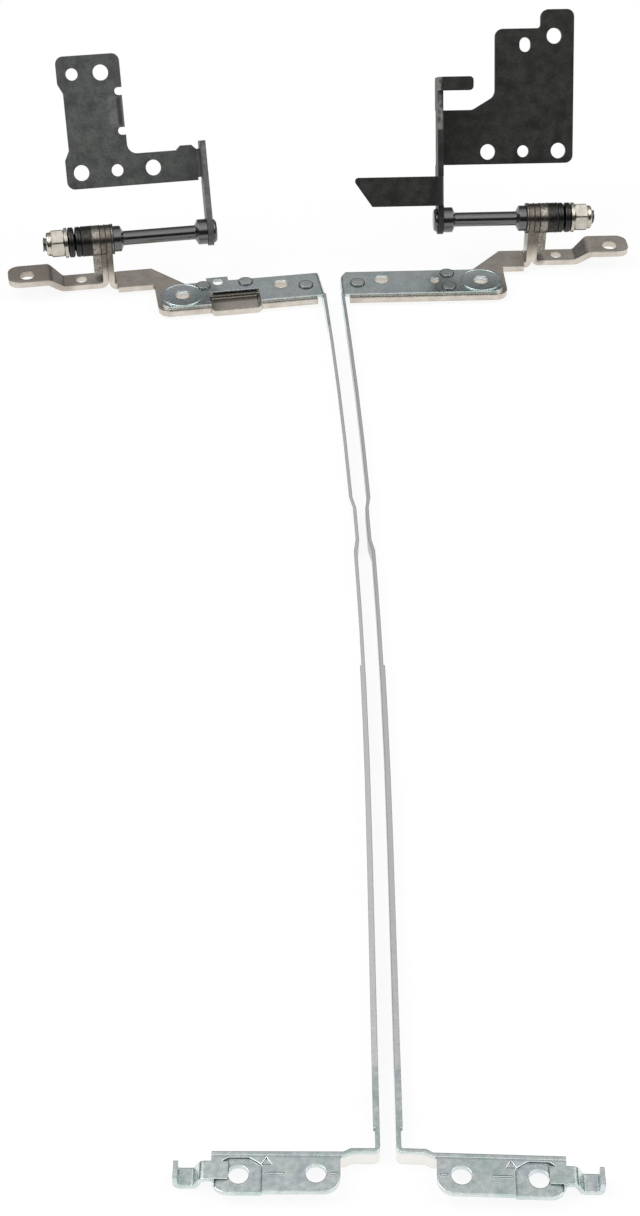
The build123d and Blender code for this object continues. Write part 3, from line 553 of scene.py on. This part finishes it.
def zinc_plate(name, dark, middle, pale, violet, green, gloss, soil_and_painted_marks, strip, lit_and_shaded_tones):
    """Blue-passivated zinc: a frosty grey mottle with violet and greenish patches, with painted shade in its
    corners and painted light and shade beside the given lines.

    Along the strip the sheet stands on its edge, with painted light on one side and painted shade on the
    other, by which way its surface leans.
    """
    material, tree, shader, place = start_material(name)
    mottle_mm = 0.8
    patch_mm = 4.0
    mottle_depth = 0.03 * mm
    dull_share = 0.06
    full_lean = 0.6
    strip_reach = (2.5, 4.0)
    mottle = add(tree, "ShaderNodeTexNoise", {"Vector": place, "Scale": 1 / mottle_mm, "Detail": 5.0})
    patch = add(tree, "ShaderNodeTexNoise", {"Vector": place, "Scale": 1 / patch_mm, "Detail": 3.0})
    ramp = add(tree, "ShaderNodeValToRGB", {"Fac": mottle.outputs["Fac"]})
    ramp.color_ramp.elements[0].position = 0.3
    ramp.color_ramp.elements[0].color = colour(dark)
    ramp.color_ramp.elements[1].position = 0.72
    ramp.color_ramp.elements[1].color = colour(pale)
    ramp.color_ramp.elements.new(0.5).color = colour(middle)
    tints = add(tree, "ShaderNodeValToRGB", {"Fac": patch.outputs["Fac"]})
    tints.color_ramp.elements[0].position = 0.38
    tints.color_ramp.elements[0].color = colour(green)
    tints.color_ramp.elements[1].position = 0.62
    tints.color_ramp.elements[1].color = colour(violet)
    tints.color_ramp.elements.new(0.5).color = colour("#ffffff")
    base = add(
        tree,
        "ShaderNodeMix",
        {"Factor": 1.0, "A": ramp.outputs["Color"], "B": tints.outputs["Color"]},
        data_type="RGBA",
        blend_type="MULTIPLY",
    )
    base = marked(tree, place, base, soil_and_painted_marks, "#4b5052")
    soft = add(tree, "ShaderNodeBevel", {"Radius": rail_round}, samples=6)
    lean = add(tree, "ShaderNodeSeparateXYZ", {"Vector": soft.outputs["Normal"]})
    across = add(
        tree,
        "ShaderNodeMapRange",
        {"Value": lean.outputs["X"], "From Min": -full_lean, "From Max": full_lean},
    )
    # Painted light and shade: the strip's edge takes its tone from which way its surface leans.
    lit_and_shaded_edge = add(tree, "ShaderNodeValToRGB", {"Fac": across.outputs[0]})
    lit_and_shaded_edge.color_ramp.elements[0].color = colour(lit_and_shaded_tones[0])
    lit_and_shaded_edge.color_ramp.elements[1].color = colour(lit_and_shaded_tones[2])
    lit_and_shaded_edge.color_ramp.elements.new(0.5).color = colour(lit_and_shaded_tones[1])
    for start, end in strip:
        on_strip = near_stretch(tree, place, start, end, *strip_reach)
        base = add(
            tree,
            "ShaderNodeMix",
            {"Factor": on_strip, "A": base.outputs["Result"], "B": lit_and_shaded_edge.outputs["Color"]},
            data_type="RGBA",
        )
    rough = add(
        tree,
        "ShaderNodeMapRange",
        {
            "Value": mottle.outputs["Fac"],
            "From Min": 0.3,
            "From Max": 0.7,
            "To Min": gloss,
            "To Max": gloss + dull_share,
        },
    )
    bump = add(
        tree,
        "ShaderNodeBump",
        {
            "Height": mottle.outputs["Fac"],
            "Strength": 0.15,
            "Distance": mottle_depth,
            "Normal": soft.outputs["Normal"],
        },
    )
    shader.inputs["Metallic"].default_value = 1.0
    tree.links.new(base.outputs["Result"], shader.inputs["Base Color"])
    tree.links.new(rough.outputs[0], shader.inputs["Roughness"])
    tree.links.new(bump.outputs["Normal"], shader.inputs["Normal"])
    return material


# A dark band along the window's back wall is painted shadow.
window_wall_shadow = ((-22.5, 88.4, 2.0), (-14.0, 89.8, 2.0), 0.3, 0.5, 0.9, 1.0, "#2c2c2a")
zinc_tints = ("#d9e2e2", "#e1e9e8", "#e9f0ef", "#f2f3f8", "#ebf4f1")
# Near-white bands on the feet's necks are painted reflection of the white table.
left_neck_reflection = ((2.0, -121.7, 1.0), (7.0, -121.2, 1.0), 0.9, 1.3, 0.9, 1.0, "#f6f3ee")
right_neck_reflection = ((10.0, -121.2, 1.0), (14.4, -121.7, 1.0), 0.9, 1.3, 0.9, 1.0, "#f6f3ee")
left_strip = (((7.1, -105.0, 1.3), (6.6, -15.0, 1.3)), ((6.6, -15.0, 1.3), (1.9, 72.0, 1.3)))
right_strip = (((10.3, -105.0, 1.3), (9.6, -15.0, 1.3)), ((9.6, -15.0, 1.3), (5.4, 72.0, 1.3)))
# Each strip's three tones paint its edge lit on one side and shaded on the other.
rails = {
    "left": ((window_wall_shadow, left_neck_reflection), left_strip, ("#ffffff", "#fbfbf9", "#c8c8c6")),
    "right": ((right_neck_reflection,), right_strip, ("#b4b4b2", "#f0f0ee", "#ffffff")),
}
zinc = {}
for side, (soil_and_painted_light, strip, lit_and_shaded_tones) in rails.items():
    finish_name = f"blue_zinc_plated_steel_{side}"
    zinc[side] = zinc_plate(finish_name, *zinc_tints, 0.24, soil_and_painted_light, strip, lit_and_shaded_tones)
    coat(f"{side}_rail", zinc[side])

# Rivets
# Three steel rivets hold each rail's end plate on the lid bracket, set flat by a press.
# The punch left their heads duller than the zinc; a dark ring round each foot is painted shade in its seam.

rivet_round = 0.05 * mm
seam_shade_line = 0.1 * mm

# The heads are a flat plain grey, and a matt black ring round each is painted shade in its seam.
rivet_steel = plated_metal("pressed_rivet_steel", "#c2c8c6", "#d8dedc", 1.2, 0.3, 0)
seam_shade_black = oiled_black("painted_shade_in_seams", "#161817", "#242726", 0.5, 1.5)

ring_tree, start = new_tree(
    "round_beads",
    {
        "Head Radius": "NodeSocketFloat",
        "Line": "NodeSocketFloat",
        "Turn": "NodeSocketRotation",
        "Material": "NodeSocketMaterial",
    },
)
round_head = add(
    ring_tree,
    "GeometryNodeCurvePrimitiveCircle",
    {"Resolution": 48, "Radius": start.outputs["Head Radius"]},
    mode="RADIUS",
)
round_line = add(
    ring_tree,
    "GeometryNodeCurvePrimitiveCircle",
    {"Resolution": 8, "Radius": start.outputs["Line"]},
    mode="RADIUS",
)
ring = add(
    ring_tree,
    "GeometryNodeCurveToMesh",
    {"Curve": round_head.outputs["Curve"], "Profile Curve": round_line.outputs["Curve"]},
)
spots = add(
    ring_tree,
    "GeometryNodeInstanceOnPoints",
    {
        "Points": start.outputs["Geometry"],
        "Instance": ring.outputs["Mesh"],
        "Rotation": start.outputs["Turn"],
    },
)
real = add(ring_tree, "GeometryNodeRealizeInstances", {"Geometry": spots.outputs["Instances"]})
finished = add(
    ring_tree,
    "GeometryNodeSetMaterial",
    {"Geometry": real.outputs["Geometry"], "Material": start.outputs["Material"]},
)
add(ring_tree, "NodeGroupOutput", {"Geometry": finished.outputs["Geometry"]})


def islands(mesh):
    """The separate solids of a mesh, each as the list of its corner points."""
    shape = bmesh.new()
    shape.from_mesh(mesh)
    bmesh.ops.remove_doubles(shape, verts=shape.verts, dist=weld_gap)
    waiting = set(shape.verts)
    found = []
    while waiting:
        group = [waiting.pop()]
        for vertex in group:
            near = {edge.other_vert(vertex) for edge in vertex.link_edges} & waiting
            waiting -= near
            group.extend(near)
        found.append([vertex.co.copy() for vertex in group])
    shape.free()
    return found


for side in sides:
    rivets = frame["nodes"][f"{side}_rail_rivets"]
    plate_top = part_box(f"{side}_rail")[1].z
    centres = []
    radius = 0
    for corners in islands(rivets.data):
        head = [c for c in corners if c.z > plate_top - weld_gap]
        middle = sum(head, Vector()) / len(head)
        radius = max((c.xy - middle.xy).length for c in head)
        centres.append((middle.x, middle.y, plate_top + seam_shade_line / 2))
    spots_mesh = bpy.data.meshes.new(f"{side}_rivet_seams")
    spots_mesh.from_pydata(centres, [], [])
    values = {"Head Radius": radius, "Line": seam_shade_line, "Material": seam_shade_black}
    made_by_tree(f"{side}_rivet_seams", ring_tree, spots_mesh, values, rivets["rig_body"])
    rounded_copy(f"{side}_rail_rivets", rivet_round, rivet_steel)

# Embossed rings
# The press that made each end plate raised a low ring of the same sheet round its far screw hole.
# Zinc plated with the rest of the rail, so its slopes show as bright arcs.

ring_radius = 4.2 * mm
ring_rise = 0.13 * mm
far_holes = {"left": (-29.28 * mm, 86.87 * mm), "right": (34.15 * mm, 93.08 * mm)}
for side in sides:
    plate_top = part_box(f"{side}_rail")[1].z
    ring_mesh = bpy.data.meshes.new(f"{side}_embossed_ring")
    ring_mesh.from_pydata([(*far_holes[side], plate_top - ring_rise / 2)], [], [])
    values = {"Head Radius": ring_radius, "Line": ring_rise, "Material": zinc[side]}
    made_by_tree(f"{side}_embossed_ring", ring_tree, ring_mesh, values, "lid_side")

# Friction pack
# The washers squeezed on the shaft: a thin one, a fixed plate with a tail, and a thick turning one.
# Hardened steel, nickel plated or left gunmetal grey, held by the springs and the nut.

washer_round = 0.08 * mm
nut_round = 0.2 * mm
# The seat is a dark dull grey, the worn plating is patchy, and the nuts are bright, with painted shade along
# their corners.
gunmetal = plated_metal("gunmetal_hardened_steel", "#2c2b29", "#4c4a46", 0.5, 0.3, 0)
worn_nickel = plated_metal("worn_nickel", "#5f5b54", "#a8a297", 0.6, 0.22, 0)
nut_corner = 0.99
corner_shade_line = (0.12, 0.3, 0.75, 1.0, "#37342f")
for side in sides:
    pivot, axis = hinge_line(side)
    offsets = [vertex.co - pivot for vertex in frame["nodes"][f"{side}_lock_nut"].data.vertices]
    rim = max(offset.cross(axis).length for offset in offsets)
    corners = {}
    for offset in offsets:
        across = offset - axis * offset.dot(axis)
        if across.length > nut_corner * rim:
            way = tuple(round(part, 1) for part in across / mm)
            corners.setdefault(way, []).append(offset)
    soil_and_painted_light = []
    for found in corners.values():
        found.sort(key=axis.dot)
        ends = [(pivot + found[i]) / mm for i in (0, -1)]
        soil_and_painted_light.append((*ends, *corner_shade_line))
    bright_nickel = plated_metal(f"bright_nickel_{side}", "#b4afa3", "#d0cbbf", 2.0, 0.14, 0, soil_and_painted_light)
    finishes = {
        "friction_washer": ("nickel_plate", worn_nickel),
        "stop_plate": ("nickel_plate", worn_nickel),
        "spring_seat": ("gunmetal", gunmetal),
        "end_washer": ("nickel_plate", bright_nickel),
        "lock_nut": ("nickel_plate", bright_nickel),
    }
    for part, (slot, finish) in finishes.items():
        edge_round = nut_round if part == "lock_nut" else washer_round
        rounded_copy(f"{side}_{part}", edge_round, finish)

# Dark rings in the gaps between the pack's washers and plates are painted shade.
bead = 0.12 * mm
bead_parts = ("friction_washer", "outer_foot", "stop_plate", "spring_seat")
for side in sides:
    pivot, axis = hinge_line(side)
    washer = frame["nodes"][f"{side}_friction_washer"]
    rim = max((vertex.co - pivot).cross(axis).length for vertex in washer.data.vertices)
    places = []
    for part in bead_parts:
        offsets = [vertex.co - pivot for vertex in frame["nodes"][f"{side}_{part}"].data.vertices]
        along = [offset.dot(axis) for offset in offsets if offset.cross(axis).length < rim]
        places += [pivot + axis * min(along), pivot + axis * max(along)]
    bead_mesh = bpy.data.meshes.new(f"{side}_gap_shade")
    bead_mesh.from_pydata(places, [], [])
    values = {
        "Head Radius": rim - bead / 2,
        "Line": bead,
        "Turn": axis.to_track_quat("Z", "Y").to_euler(),
        "Material": seam_shade_black,
    }
    made_by_tree(f"{side}_gap_shade", ring_tree, bead_mesh, values, "lid_side")

# Disc springs
# Four conical spring washers per hinge in facing pairs, which press the friction faces together.
# Blackened spring steel wet with grease, so each rim shows a soft highlight.

spring_round = 0.03 * mm
spring_count = 4
spring_black = oiled_black("greased_spring_black", "#080807", "#121211", 0.2, 1.5)
for side in sides:
    for number in range(1, spring_count + 1):
        rounded_copy(f"{side}_disc_spring_{number}", spring_round, spring_black)

# Floor and light
# A white table under soft lamps. The floor shows white to the camera and keeps the pair's shadow.

scene = bpy.context.scene
scene.view_settings.view_transform = "Standard"

floor_half = 1.5
floor_corners = [(-1, -1), (1, -1), (1, 1), (-1, 1)]
floor_mesh = bpy.data.meshes.new("table_top")
floor_mesh.from_pydata([(x * floor_half, y * floor_half, 0) for x, y in floor_corners], [], [(0, 1, 2, 3)])
floor = bpy.data.objects.new("table_top", floor_mesh)
scene.collection.objects.link(floor)


def seen_rays(tree):
    """One for a ray from the camera, or one that comes off or through a shiny surface, else zero."""
    path = add(tree, "ShaderNodeLightPath", {})
    seen = path.outputs["Is Camera Ray"]
    for kind in ("Is Glossy Ray", "Is Transmission Ray"):
        seen = add(tree, "ShaderNodeMath", {0: seen, 1: path.outputs[kind]}, operation="MAXIMUM").outputs[0]
    return seen


# The paper is plain white to the eye, with a soft shadow left under the pair.
white_share = 0.9
paper = bpy.data.materials.new("white_paper")
paper.use_nodes = True
tree = paper.node_tree
tree.nodes.clear()
share = add(tree, "ShaderNodeMath", {0: seen_rays(tree), 1: white_share}, operation="MULTIPLY")
matte = add(tree, "ShaderNodeBsdfDiffuse", {"Color": colour("#f6f6f6")})
glow = add(tree, "ShaderNodeEmission", {"Color": colour("#ffffff"), "Strength": 1.0})
mixed = add(tree, "ShaderNodeMixShader", {0: share.outputs[0], 1: matte.outputs[0], 2: glow.outputs[0]})
add(tree, "ShaderNodeOutputMaterial", {"Surface": mixed.outputs[0]})
floor_mesh.materials.append(paper)

world = bpy.data.worlds.new("studio")
scene.world = world
world.use_nodes = True
tree = world.node_tree
tree.nodes.clear()
direction = add(tree, "ShaderNodeTexCoord", {}).outputs["Generated"]
parts = add(tree, "ShaderNodeSeparateXYZ", {"Vector": direction}).outputs
room = add(tree, "ShaderNodeValToRGB", {"Fac": parts["Z"]})
room.color_ramp.elements[0].position = 0.3
room.color_ramp.elements[0].color = colour("#565658")
room.color_ramp.elements[1].position = 0.97
room.color_ramp.elements[1].color = colour("#ffffff")
for height, tone in ((0.5, "#9c9c9d"), (0.74, "#c8c8c8"), (0.84, "#949494"), (0.92, "#e8e8e8")):
    room.color_ramp.elements.new(height).color = colour(tone)
# The side behind the camera is dim, but for a white soft box overhead.
behind_camera = add(tree, "ShaderNodeMapRange", {"Value": parts["Y"], "From Min": -0.3, "From Max": -0.6})
dimmed = add(
    tree,
    "ShaderNodeMix",
    {"Factor": behind_camera.outputs[0], "A": room.outputs["Color"], "B": colour("#3c3c3c")},
    data_type="RGBA",
)
overhead = add(tree, "ShaderNodeMapRange", {"Value": parts["Z"], "From Min": 0.6, "From Max": 0.75})
nearer = add(tree, "ShaderNodeMapRange", {"Value": parts["Y"], "From Min": 0.25, "From Max": -0.05})
box_share = add(
    tree, "ShaderNodeMath", {0: overhead.outputs[0], 1: nearer.outputs[0]}, operation="MULTIPLY"
)
boxed = add(
    tree,
    "ShaderNodeMix",
    {"Factor": box_share.outputs[0], "A": dimmed.outputs["Result"], "B": colour("#ffffff")},
    data_type="RGBA",
)
light = add(
    tree,
    "ShaderNodeMix",
    {"Factor": seen_rays(tree), "A": colour("#b3b3b3"), "B": boxed.outputs["Result"]},
    data_type="RGBA",
)
backdrop = add(
    tree,
    "ShaderNodeMix",
    {
        "Factor": add(tree, "ShaderNodeLightPath", {}).outputs["Is Camera Ray"],
        "A": light.outputs["Result"],
        "B": colour("#ffffff"),
    },
    data_type="RGBA",
)
sky = add(tree, "ShaderNodeBackground", {"Color": backdrop.outputs["Result"], "Strength": 1.0})
add(tree, "ShaderNodeOutputWorld", {"Surface": sky.outputs[0]})


def soft_lamp(name, place, size, power):
    """A square soft box that points at the middle of the pair."""
    data = bpy.data.lights.new(name, "AREA")
    data.shape = "SQUARE"
    data.size = size
    data.energy = power
    lamp = bpy.data.objects.new(name, data)
    lamp.location = place
    middle = (cad_box[0] + cad_box[1]) / 2
    lamp.rotation_euler = (middle - Vector(place)).to_track_quat("-Z", "Y").to_euler()
    scene.collection.objects.link(lamp)


soft_lamp("key_lamp", (-0.55, 0.0, 0.85), 0.7, 5.5)
soft_lamp("fill_lamp", (0.6, 0.0, 0.8), 0.7, 3.5)
soft_lamp("top_lamp", (0.0, -0.4, 1.1), 0.9, 1.0)

# Camera
# The photograph looks down on the pair from the feet's end, 40.6 degrees below the horizon.

image_height = 1216
focal_pixels = 1884
sensor = 36.0
pitch_down = math.radians(40.6)
camera_data = bpy.data.cameras.new("camera")
camera_data.sensor_width = sensor
camera_data.lens = sensor * focal_pixels / image_height
camera = bpy.data.objects.new("camera", camera_data)
camera.location = (-0.229 * mm, -258.445 * mm, 211.6 * mm)
camera.rotation_euler = (math.pi / 2 - pitch_down, 0, 0)
scene.collection.objects.link(camera)
scene.camera = camera
